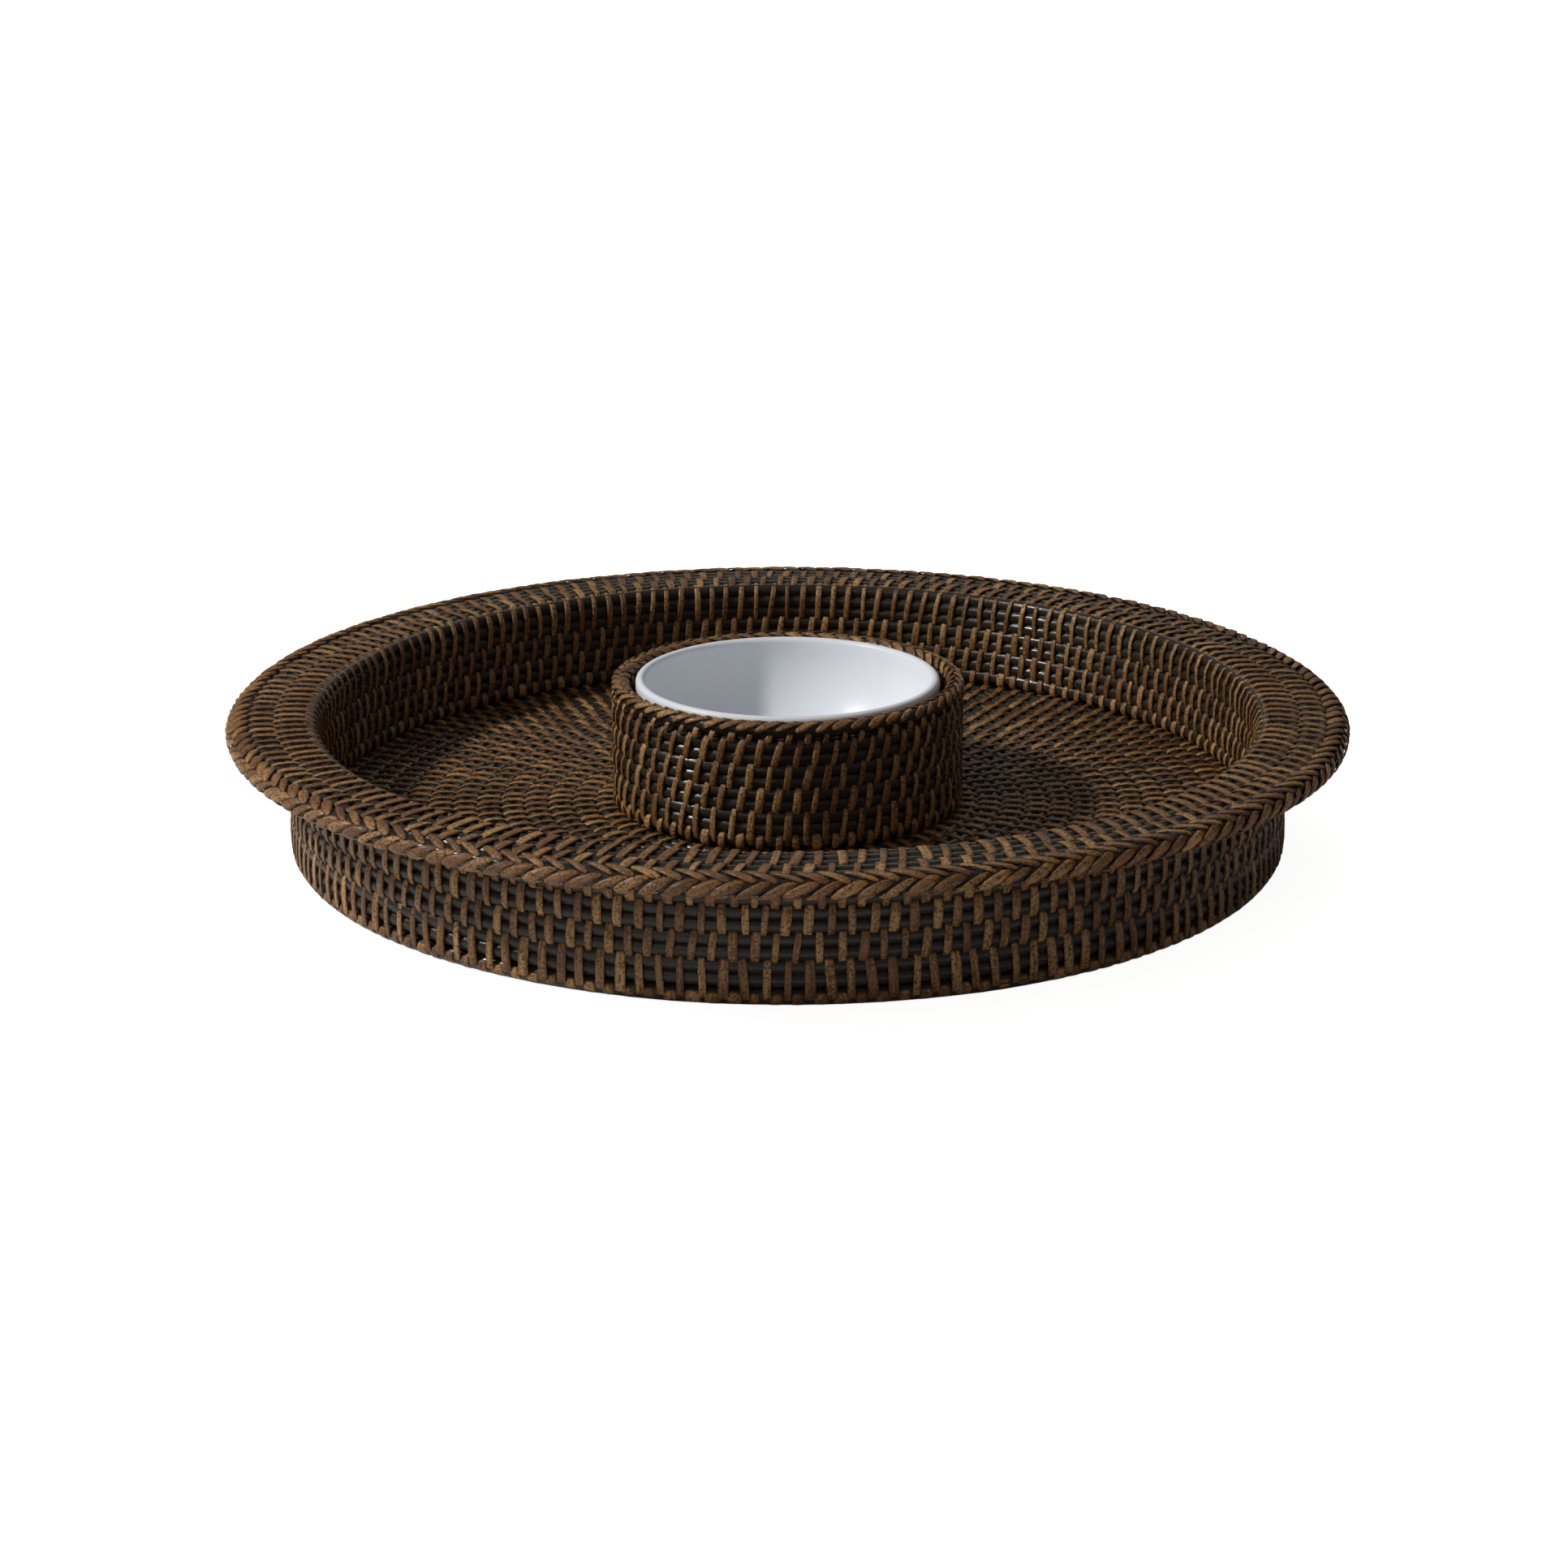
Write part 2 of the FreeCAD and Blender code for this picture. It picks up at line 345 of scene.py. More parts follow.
def flat_strip(tree, entry):
    """One strip of peel, flat: domed across, narrower and dipping at its ends."""
    wires = {"Size": (1.0, 1.0, 1.0), "Vertices X": 4, "Vertices Y": 7, "Vertices Z": 2}
    blank = geo(tree, "MeshCube", wires)
    across, along, through = parts_of(tree, geo(tree, "InputPosition"))
    facing = parts_of(tree, geo(tree, "InputNormal"))[2]
    wires = {"A": size_of(tree, facing), "B": 0.5}
    broad = out(put(tree, "FunctionNodeCompare", wires, operation="GREATER_THAN"))
    crisp = geo(tree, "SetShadeSmooth", {"Geometry": blank, "Shade Smooth": broad})
    # the place on the strip that its grain follows, from -1 to 1 each way
    place = vector_of(tree, times(tree, across, 2.0), times(tree, along, 2.0), through)
    wires = {"Geometry": crisp, "Name": "peel_place", "Value": place}
    marked = geo(tree, "StoreNamedAttribute", wires, data_type="FLOAT_VECTOR", domain="POINT")
    eased = calc(tree, "SINE", times(tree, along, math.pi))
    end = size_of(tree, eased)
    narrowing = times(tree, calc(tree, "POWER", end, 5.0), entry["Taper"])
    breadth = times(tree, entry["Peel Width"], minus(tree, 1.0, narrowing))
    curve = times(tree, calc(tree, "POWER", end, 2.0), entry["Bow"])
    x = times_plus(tree, across, breadth, curve)
    reach = times(tree, eased, 0.5)
    y = times(tree, reach, entry["Stitch Length"])
    edge = calc(tree, "POWER", times(tree, size_of(tree, across), 2.0), 2.0)
    dome = times_plus(tree, edge, -0.28, 1.0)
    body = times(tree, times(tree, through, entry["Peel Thickness"]), dome)
    dip = times(tree, calc(tree, "POWER", end, 3.0), entry["End Drop"])
    z = plus(tree, minus(tree, body, dip), times(tree, reach, entry["Tilt"]))
    return geo(tree, "SetPosition", {"Geometry": marked, "Position": vector_of(tree, x, y, z)})


def flat_row(tree, entry, strip):
    """A row of strips, still flat, each a little off its place, lean and size.

    The numbers 1 to 7 after the seed only keep one random draw apart from the next.
    """
    seed = entry["Seed"]
    pitch = calc(tree, "DIVIDE", times(tree, entry["Row Radius"], math.tau), entry["Stitches"])
    jitter = random_about(tree, entry["Wander"], seed, 1)
    step = plus(tree, plus(tree, geo(tree, "InputIndex"), entry["Stagger"]), jitter)
    rise = random_about(tree, times(tree, entry["Wander"], entry["Peel Width"]), seed, 2)
    lift = random_between(tree, 0.0, entry["Lift"], seed, 6)
    spot = vector_of(tree, times(tree, step, pitch), plus(tree, entry["Row Middle"], rise), lift)
    lean = plus(tree, entry["Lean"], random_about(tree, entry["Lean Spread"], seed, 3))
    turned = put(tree, "FunctionNodeEulerToRotation", {"Euler": vector_of(tree, 0, 0, lean)})
    narrow = minus(tree, 1.0, entry["Width Spread"])
    breadths = random_between(tree, narrow, plus(tree, 1.0, entry["Width Spread"]), seed, 4)
    lengths = random_between(tree, 0.965, 1.035, seed, 5)
    wires = {
        "Points": geo(tree, "Points", {"Count": entry["Stitches"], "Position": spot}),
        "Instance": strip,
        "Rotation": out(turned),
        "Scale": vector_of(tree, breadths, lengths, 1.0),
    }
    return with_tone(tree, geo(tree, "InstanceOnPoints", wires), "peel_tone", seed, 7)


def lashed_row_tree():
    """One row of strips of peel, laid out flat, leaned and varied, then wrapped round the guide.

    Flat, X runs round the tray, Y along the guide and Z out of the surface.
    """
    tree, entry = new_tree(
        "Lashed Row",
        Object=("Guide",),
        Int=("Stitches", "Seed"),
        Float=(
            *("Row Radius", "Row Middle", "Stitch Length", "Peel Width", "Peel Thickness"),
            *("End Drop", "Taper", "Tilt", "Bow", "Lean", "Lean Spread", "Width Spread"),
            *("Stagger", "Wander", "Lift"),
        ),
        Material=("Material",),
    )
    row = flat_row(tree, entry, flat_strip(tree, entry))
    # the wrap: Y becomes the way along the guide, Z the way out of it, and X the way round
    info = put(tree, "GeometryNodeObjectInfo", {"Object": entry["Guide"]})
    line = geo(tree, "MeshToCurve", {"Mesh": out(info, "Geometry")})
    flat_x, flat_y, flat_z = parts_of(tree, geo(tree, "InputPosition"))
    sample = put(tree, "GeometryNodeSampleCurve", {"Curves": line}, mode="LENGTH")
    wire(tree, sample, {"Length": flat_y})
    near, _, level = parts_of(tree, out(sample, "Position"))
    run, _, climb = parts_of(tree, out(sample, "Tangent"))
    distance = times_plus(tree, climb, flat_z, near)
    stand = minus(tree, level, times(tree, run, flat_z))
    angle = calc(tree, "DIVIDE", flat_x, entry["Row Radius"])
    wires = {"Vector": vector_of(tree, distance, 0, stand), "Axis": (0.0, 0.0, 1.0), "Angle": angle}
    wrapped = out(put(tree, "ShaderNodeVectorRotate", wires, rotation_type="AXIS_ANGLE"))
    return close_tree(tree, entry, geo(tree, "SetPosition", {"Geometry": row, "Position": wrapped}))


def tree_named(name):
    """The weaving tree of that name, built the first time it is asked for."""
    builders = {"Cane Rings": cane_ring_tree, "Lashed Row": lashed_row_tree}
    return bpy.data.node_groups.get(name) or builders[name]()


def add_work(piece, tree_name, values):
    """Adds one weaving step to the piece, with its inputs set by their identifiers."""
    tree = tree_named(tree_name)
    step = piece.modifiers.new(tree_name, "NODES")
    step.node_group = tree
    known = {s.name: s.identifier for s in tree.interface.items_tree if s.in_out == "INPUT"}
    for label, value in values.items():
        step[known[label]] = value


def start_piece(name, mesh=None):
    piece = bpy.data.objects.new(name, mesh or bpy.data.meshes.new(name))
    bpy.context.scene.collection.objects.link(piece)
    return piece


def declare(piece, body, nodes):
    """The piece rides on its body and stands for its CAD nodes, which it hides."""
    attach(piece, body)
    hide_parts(*nodes)


def finish_weaving(piece, nodes):
    """Turns the weaving steps into a plain mesh of the tray's."""
    bpy.context.view_layer.update()
    evaluated = piece.evaluated_get(bpy.context.evaluated_depsgraph_get())
    plain = bpy.data.meshes.new_from_object(evaluated)
    piece.modifiers.clear()
    piece.data = plain
    plain.name = piece.name
    if not plain.polygons:
        raise RuntimeError(f"{piece.name} came out empty")
    declare(piece, TRAY_BODY, nodes)


# ---- guides


def arc(centre_r, centre_z, radius, start, end, steps=10):
    """Points of an arc in the section, from start to end in degrees."""
    turns = [math.radians(start + (end - start) * i / steps) for i in range(steps + 1)]
    return [(centre_r + radius * math.cos(t), centre_z + radius * math.sin(t)) for t in turns]


def on_arc(centre_r, centre_z, radius, angle):
    """The place on an arc at one angle."""
    return arc(centre_r, centre_z, radius, angle, angle, 1)[0]


def on_shoulder(angle, depth=0.0):
    """The place on the shoulder's round at that angle, in degrees, and that far under its face."""
    centre_r, centre_z = WELL_RADIUS + SHOULDER_ROUND, RIM_TOP - SHOULDER_ROUND
    return on_arc(centre_r, centre_z, SHOULDER_ROUND - depth, angle)


class Guide:
    """A line in the tray's section that rows of peel are wrapped round."""

    def __init__(self, name, points):
        mesh = bpy.data.meshes.new(name)
        places = [(r, 0.0, z) for r, z in points]
        mesh.from_pydata(places, [(i, i + 1) for i in range(len(points) - 1)], [])
        self.points = points
        self.line = start_piece(name, mesh)
        self.line.hide_render = True

    def station(self, r, z):
        """How far along the guide its nearest place to r, z is."""
        best, best_gap, gone = 0.0, math.inf, 0.0
        for (r0, z0), (r1, z1) in zip(self.points, self.points[1:]):
            length = math.hypot(r1 - r0, z1 - z0)
            if length == 0:
                continue
            share = ((r - r0) * (r1 - r0) + (z - z0) * (z1 - z0)) / length**2
            share = min(1.0, max(0.0, share))
            gap = math.hypot(r0 + share * (r1 - r0) - r, z0 + share * (z1 - z0) - z)
            if gap < best_gap:
                best, best_gap = gone + share * length, gap
            gone += length
        return best

    def drop(self):
        """Takes the line away, once the pieces on it are plain meshes."""
        mesh = self.line.data
        bpy.data.objects.remove(self.line)
        bpy.data.meshes.remove(mesh)


def lash(piece, guide, ends, stitches, material, seed, **changes):
    """Adds one row of stitches between two places; changes are the row's inputs in small letters."""
    weave = bpy.context.scene.weave_settings
    start, end = ends
    first, last = guide.station(*start), guide.station(*end)
    values = {
        "Guide": guide.line,
        "Stitches": stitches,
        "Row Radius": max((start[0] + end[0]) / 2, 1 * MM),
        "Row Middle": (first + last) / 2,
        "Stitch Length": abs(last - first),
        "Peel Width": weave.peel_width,
        "Peel Thickness": weave.peel_thickness,
        "End Drop": 1.35 * MM,
        "Taper": 0.24,
        "Tilt": 0.0,
        "Bow": 0.0,
        "Lean": 0.0,
        "Lean Spread": math.radians(5.0),
        "Width Spread": 0.25,
        "Stagger": 0.0,
        "Wander": 0.08,
        "Lift": 0.12 * MM,
        "Seed": seed,
        "Material": material,
    }
    values.update({key.replace("_", " ").title(): value for key, value in changes.items()})
    add_work(piece, "Lashed Row", values)


def braid(name, guide, legs, stitches, seed, node, **changes):
    """A braid of rows of pointed strips: for each, ends, lean, stagger, stretch, width and tilt."""
    piece = start_piece(name)
    for number, (ends, lean, stagger, stretch, width, tilt) in enumerate(legs):
        start, end = ends
        look = {
            "stitch_length": stretch * abs(guide.station(*end) - guide.station(*start)),
            "peel_width": width,
            "lean": math.radians(lean),
            "stagger": stagger,
            "tilt": tilt * MM,
            "lift": 0.2 * MM,
        }
        lash(piece, guide, ends, stitches, braid_peel(), seed + number, **look, **changes)
    finish_weaving(piece, [node])


def lay_canes(piece, rings, radius, height, cane, seed, radius_step=0.0, height_step=0.0, around=150):
    """Adds a set of evenly spaced canes."""
    values = {
        "Rings": rings,
        "First Radius": radius,
        "Radius Step": radius_step,
        "First Height": height,
        "Height Step": height_step,
        "Cane Radius": cane,
        "Around": around,
        "Wander": CANE_WANDER,
        "Seed": seed,
        "Material": cane_material(),
    }
    add_work(piece, "Cane Rings", values)


# ---- materials


def shader_group(name, inputs, outputs):
    """An empty shader group with its sockets; gives the tree, the inputs and the output node."""
    tree = bpy.data.node_groups.new(name, "ShaderNodeTree")
    add_sockets(tree, "INPUT", inputs)
    add_sockets(tree, "OUTPUT", outputs)
    return tree, tree.nodes.new("NodeGroupInput").outputs, tree.nodes.new("NodeGroupOutput")


def noise_of(tree, vector, scale, detail=3.0, roughness=0.55):
    wires = {"Vector": vector, "Scale": scale, "Detail": detail, "Roughness": roughness}
    return put(tree, "ShaderNodeTexNoise", wires).outputs["Fac"]


def blend_colours(tree, share, first, second):
    return put(tree, "ShaderNodeMix", {0: share, 6: first, 7: second}, data_type="RGBA").outputs[2]


def between(tree, value, from_low, from_high, to_low=0.0, to_high=1.0):
    """The value moved from one span to another, smoothly and kept inside it."""
    wires = {0: value, 1: from_low, 2: from_high, 3: to_low, 4: to_high}
    return out(put(tree, "ShaderNodeMapRange", wires, interpolation_type="SMOOTHSTEP"))


def solid(colour, factors=(1.0, 1.0, 1.0)):
    """A setting's colour, times the factors, as a shader takes it."""
    return (*(c * f for c, f in zip(colour, factors)), 1.0)


def peel_grain_group():
    """Fibres, tone and pits of a strip of peel, with shade painted along its sides and tips."""
    found = bpy.data.node_groups.get("Peel Grain")
    if found:
        return found
    tree, entry, leaving = shader_group(
        "Peel Grain",
        {
            "Vector": ("Place", "Spot"),
            "Float": ("Tone", "Fibres"),
            "Color": ("Dark", "Middle", "Pale", "Rust"),
        },
        {"Color": ("Colour",), "Float": ("Roughness", "Height")},
    )
    across, along, _ = parts_of(tree, entry["Place"])
    tone, dark = entry["Tone"], entry["Dark"]
    own = times(tree, tone, 61.0)
    wide, long = times(tree, across, entry["Fibres"]), times(tree, along, 0.55)
    fibre = noise_of(tree, vector_of(tree, wide, long, own), 1.0, 4.0, 0.62)
    wide, long = times(tree, across, 1.7), times(tree, along, 0.8)
    streak = noise_of(tree, vector_of(tree, wide, long, own), 1.0, 2.0)
    patch = noise_of(tree, entry["Spot"], 38.0, 2.0)
    pitted = between(tree, noise_of(tree, entry["Spot"], 1100.0, 3.0, 0.7), 0.36, 0.52)
    mixed = times_plus(tree, fibre, 0.95, times(tree, streak, 0.7))
    mixed = plus(tree, mixed, times(tree, tone, 0.42))
    mixed = plus(tree, mixed, times(tree, patch, 0.42))
    mixed = plus(tree, mixed, times_plus(tree, pitted, 0.55, -0.66))
    colour = blend_colours(tree, between(tree, mixed, 0.62, 1.02), dark, entry["Middle"])
    colour = blend_colours(tree, between(tree, mixed, 0.98, 1.38), colour, entry["Pale"])
    # some strips, picked by their tone, are rusty
    chance = calc(tree, "FRACT", times(tree, tone, 7.3))
    colour = blend_colours(tree, between(tree, chance, 0.55, 1.0, 0.0, 0.5), colour, entry["Rust"])
    # painted shade along the sides and tips, where the strip turns down into the gaps and dives under its
    # neighbours; the pits are the peel's own dark colour
    side = between(tree, size_of(tree, across), 0.66, 1.02)
    tip_shade = between(tree, size_of(tree, along), 0.7, 1.0)
    painted_shade = calc(tree, "MAXIMUM", times(tree, side, 0.5), times(tree, tip_shade, 0.62))
    colour = blend_colours(tree, painted_shade, colour, dark)
    colour = blend_colours(tree, times_plus(tree, pitted, -0.5, 0.5), colour, dark)
    rough = times_plus(tree, fibre, 0.25, 0.3)
    relief = times_plus(tree, pitted, 0.35, times(tree, streak, 0.5))
    wires = {
        "Colour": colour,
        "Roughness": times_plus(tree, streak, 0.12, rough),
        "Height": times_plus(tree, fibre, 1.0, relief),
    }
    wire(tree, leaving, wires)
    return tree


def surface_mottle_group():
    """Slow colour and polish changes, with fine pores, that both lacquer and glaze show."""
    found = bpy.data.node_groups.get("Surface Mottle")
    if found:
        return found
    tree, entry, leaving = shader_group(
        "Surface Mottle",
        {"Vector": ("Spot",), "Float": ("Patch Scale", "Pore Scale")},
        {"Float": ("Patches", "Pores", "Height")},
    )
    patches = noise_of(tree, entry["Spot"], entry["Patch Scale"], 3.0)
    pores = noise_of(tree, entry["Spot"], entry["Pore Scale"], 4.0, 0.65)
    wires = {
        "Patches": between(tree, patches, 0.32, 0.68),
        "Pores": between(tree, pores, 0.4, 0.75),
        "Height": times_plus(tree, pores, 0.35, patches),
    }
    wire(tree, leaving, wires)
    return tree


def mottle_of(tree, spot, patch_scale, pore_scale):
    wires = {"Spot": spot, "Patch Scale": patch_scale, "Pore Scale": pore_scale}
    return put(tree, "ShaderNodeGroup", wires, node_tree=surface_mottle_group()).outputs


def new_material(name, viewport):
    material = bpy.data.materials.new(name)
    material.use_nodes = True
    material.diffuse_color = (*viewport, 1.0)
    tree = material.node_tree
    return material, tree, tree.nodes["Principled BSDF"]


def attribute_of(tree, name, output):
    return put(tree, "ShaderNodeAttribute", attribute_name=name).outputs[output]


def bump_of(tree, height, distance, strength):
    wires = {"Strength": strength, "Distance": distance, "Height": height}
    return out(put(tree, "ShaderNodeBump", wires))


def peel_material(name, fibres, paler):
    """Brown peel; paler shifts every strip's tone towards the pale colour, and below nought towards the
    dark one; on the inner peel it is painted light.
    """
    found = bpy.data.materials.get(name)
    if found:
        return found
    weave = bpy.context.scene.weave_settings
    material, tree, shader = new_material(name, weave.peel_middle)
    wires = {
        "Place": attribute_of(tree, "peel_place", "Vector"),
        "Spot": put(tree, "ShaderNodeTexCoord").outputs["Object"],
        "Tone": plus(tree, attribute_of(tree, "peel_tone", "Fac"), paler),
        "Fibres": fibres,
        "Dark": solid(weave.peel_dark),
        "Middle": solid(weave.peel_middle),
        "Pale": solid(weave.peel_pale),
        "Rust": solid(weave.peel_rust),
    }
    grain = put(tree, "ShaderNodeGroup", wires, node_tree=peel_grain_group()).outputs
    wires = {
        "Base Color": grain["Colour"],
        "Roughness": grain["Roughness"],
        "Normal": bump_of(tree, grain["Height"], 0.22 * MM, 0.75),
        "Specular IOR Level": 0.4,
        "Coat Weight": 0.1,
        "Coat Roughness": 0.22,
    }
    wire(tree, shader, wires)
    return material


def lashing_peel():
    return peel_material("Lashing Peel", 3.6, 0.0)


def inner_peel_painted_light():
    """The collar's and the inner wall's peel, made lighter all over: painted light, standing in for more
    light falling on them.
    """
    return peel_material("Inner Peel", 3.6, 0.2)


def braid_peel():
    return peel_material("Braid Peel", 6.5, -0.1)


def cane_material():
    """Near-black lacquered cane, warmer where its grain is open."""
    name = "Lacquered Cane"
    found = bpy.data.materials.get(name)
    if found:
        return found
    weave = bpy.context.scene.weave_settings
    material, tree, shader = new_material(name, weave.cane_colour)
    spot = put(tree, "ShaderNodeTexCoord").outputs["Object"]
    # grain drawn out along the cane, which runs round the tray
    x, y, z = parts_of(tree, spot)
    angle = calc(tree, "ARCTAN2", y, x)
    radius = calc(tree, "SQRT", times_plus(tree, x, x, times(tree, y, y)))
    grain = noise_of(tree, vector_of(tree, times(tree, angle, 0.018), radius, z), 900.0, 3.0)
    mottle = mottle_of(tree, spot, 60.0, 900.0)
    tone = attribute_of(tree, "cane_tone", "Fac")
    share = times(tree, between(tree, grain, 0.45, 0.8), mottle["Patches"])
    share = times(tree, share, times_plus(tree, tone, 0.6, 0.4))
    warm = solid(weave.cane_colour, (1.9, 1.9, 1.9))
    height = times_plus(tree, grain, 1.2, mottle["Height"])
    wires = {
        "Base Color": blend_colours(tree, share, solid(weave.cane_colour), warm),
        "Roughness": times_plus(tree, mottle["Pores"], 0.14, 0.27),
        "Normal": bump_of(tree, height, 0.3 * MM, 0.55),
        "Specular IOR Level": 0.3,
        "Coat Weight": 0.14,
        "Coat Roughness": 0.12,
    }
    wire(tree, shader, wires)
    return material


def glaze_material():
    """Bluish white glaze with slight pooling, and a bare ring under the foot."""
    bowl = bpy.context.scene.bowl_settings
    material, tree, shader = new_material("Glazed Porcelain", bowl.glaze_colour)
    spot = put(tree, "ShaderNodeTexCoord").outputs["Object"]
    mottle = mottle_of(tree, spot, 32.0, 420.0)
    thin = solid(bowl.glaze_colour, (0.96, 0.97, 0.985))
    colour = blend_colours(tree, mottle["Patches"], solid(bowl.glaze_colour), thin)
    bottom = low("dip_bowl")
    height = parts_of(tree, spot)[2]
    bare = minus(tree, 1.0, between(tree, height, bottom + 0.3 * MM, bottom + 0.9 * MM))
    gloss = times_plus(tree, mottle["Pores"], 0.06, 0.34)
    wires = {
        "Base Color": blend_colours(tree, bare, colour, (0.68, 0.64, 0.58, 1.0)),
        "Roughness": times_plus(tree, bare, 0.6, gloss),
        "Normal": bump_of(tree, mottle["Height"], 0.35 * MM, 0.22),
        "Specular IOR Level": 0.22,
        "Coat Weight": 0.03,
        "Coat Roughness": 0.2,
    }
    wire(tree, shader, wires)
    return material


# ---- guides' points


def peel_inset():
    return bpy.context.scene.weave_settings.peel_thickness / 2


def outside_line():
    """From under the foot, round its corner and up the outer wall."""
    inset = peel_inset()
    points = [(WELL_RADIUS, inset)]
    points += arc(SKIRT_RADIUS - FOOT_ROUND, FOOT_ROUND, FOOT_ROUND - inset, -90, 0)
    return points + [(SKIRT_RADIUS - inset, RIM_UNDER)]


def inside_line():
    """From the edge braid over the rim, round the shoulder and down the inner wall."""
    inset = peel_inset()
    turn = SHOULDER_ROUND - inset
    points = [(RIM_RADIUS + 3 * MM, RIM_TOP - inset)]
    points += arc(WELL_RADIUS + SHOULDER_ROUND, RIM_TOP - SHOULDER_ROUND, turn, 90, 180)
    return points + [(WELL_RADIUS + inset, FLOOR_TOP)]


def braid_line(bottom, middle, half):
    """Under the edge braid, round its nose, and over its top."""
    inset = peel_inset()
    inner = RIM_RADIUS - 6 * MM
    nose = arc(TRAY_RADIUS - half, middle, half - inset, -90, 90, 16)
    return [(inner, bottom + inset), *nose, (inner, RIM_TOP - inset)]


def collar_line(middle, half, crown):
    """Up the collar's outside, over its rounded top and down its inside."""
    inset = peel_inset()
    over = arc(middle, crown - half, half - inset, 0, 180, 14)
    return [(COLLAR_RADIUS - inset, FLOOR_TOP), *over, (COLLAR_HOLE + inset, FLOOR_TOP)]


# ---- pieces


class WEAVE_OT_outer_wall(bpy.types.Operator):
    """Weaves the outer wall and the foot under it"""

    bl_idname = "weave.outer_wall"
    bl_label = "Outer Wall"

    def execute(self, context):
        weave = context.scene.weave_settings
        thick, overlap = weave.peel_thickness, weave.overlap
        nodes = [*SKIRT, "foot_course"]
        canes = start_piece("outer_wall_canes")
        spacing = (high(SKIRT[-1]) - low(SKIRT[0])) / (2 * len(SKIRT))
        cane = CANE_FULLNESS * spacing
        middle = SKIRT_RADIUS - CANE_DEPTH * thick - cane
        first = low(SKIRT[0]) + spacing / 2
        lay_canes(canes, 2 * len(SKIRT), middle, first, cane, seed=3, height_step=spacing)
        cane = (FOOT_TOP - thick) / 2
        inner, outer = WELL_RADIUS + cane, SKIRT_RADIUS - thick - cane
        lay_canes(canes, 2, inner, 0.2 * thick + cane, cane, seed=4, radius_step=outer - inner)
        finish_weaving(canes, nodes)

        guide = Guide("outside_guide", outside_line())
        lashing = start_piece("outer_wall_lashing")
        row = (weave.wall_stitches, lashing_peel())
        leans = (2.5, -3.5, -1.0, -0.5)
        for number, node in enumerate(SKIRT):
            bottom = (SKIRT_RADIUS, low(node) - overlap)
            if number == 0:
                # the first row runs on under the foot
                bottom = (SKIRT_RADIUS - 3.6 * MM, 0)
            ends = bottom, (SKIRT_RADIUS, high(node) + overlap)
            look = {"stagger": 0.5 * (number % 2), "lean": math.radians(leans[number % len(leans)])}
            lash(lashing, guide, ends, *row, seed=100 + number, **look)
        # short broad stitches over the foot's edge, between the long ones
        ends = (SKIRT_RADIUS - 6 * MM, 0), (SKIRT_RADIUS, 0.72 * FOOT_TOP)
        look = {"peel_width": 1.4 * weave.peel_width, "taper": 0.2, "end_drop": 1.0 * MM}
        lash(lashing, guide, ends, *row, seed=110, stagger=0.5, **look)
        finish_weaving(lashing, nodes)
        guide.drop()
        return {"FINISHED"}


class WEAVE_OT_inner_wall(bpy.types.Operator):
    """Weaves the inner wall up to the shoulder"""

    bl_idname = "weave.inner_wall"
    bl_label = "Inner Wall"

    def execute(self, context):
        weave = context.scene.weave_settings
        thick, overlap = weave.peel_thickness, weave.overlap
        nodes = ["corner_course", *WELL, "shoulder_course"]
        canes = start_piece("inner_wall_canes")
        spacing = (high(WELL[-1]) - low(WELL[0])) / (2 * len(WELL))
        cane = CANE_FULLNESS * spacing
        first = low(WELL[0]) - spacing / 2
        rings = int((RIM_TOP - SHOULDER_ROUND - first) / spacing) + 1
        middle = WELL_RADIUS + CANE_DEPTH * thick + cane
        lay_canes(canes, rings, middle, first, cane, seed=5, height_step=spacing)
        # one more cane inside the shoulder's round
        lay_canes(canes, 1, *on_shoulder(128, 0.9 * thick + cane), cane, seed=6)
        finish_weaving(canes, nodes)

        guide = Guide("inside_guide", inside_line())
        lashing = start_piece("inner_wall_lashing")
        row = (weave.wall_stitches, inner_peel_painted_light())
        wall = WELL_RADIUS
        for number, node in enumerate(WELL):
            ends = (wall, high(node) + overlap), (wall, low(node) - overlap)
            look = {"lean": WALL_LEAN, "peel_width": 0.88 * weave.peel_width}
            lash(lashing, guide, ends, *row, seed=200 + number, stagger=0.5 * (number % 2), **look)
        # from the top of the shoulder, and at the wall's foot
        ends = on_shoulder(92), (wall, low("shoulder_course") - overlap)
        look = {"lean": WALL_LEAN, "peel_width": 0.74 * weave.peel_width, "end_drop": 1.1 * MM}
        lash(lashing, guide, ends, *row, seed=210, **look)
        ends = (wall, high("corner_course") + 0.2 * MM), (wall, FLOOR_TOP)
        lash(lashing, guide, ends, *row, seed=211, stagger=0.5)
        finish_weaving(lashing, nodes)
        guide.drop()
        return {"FINISHED"}


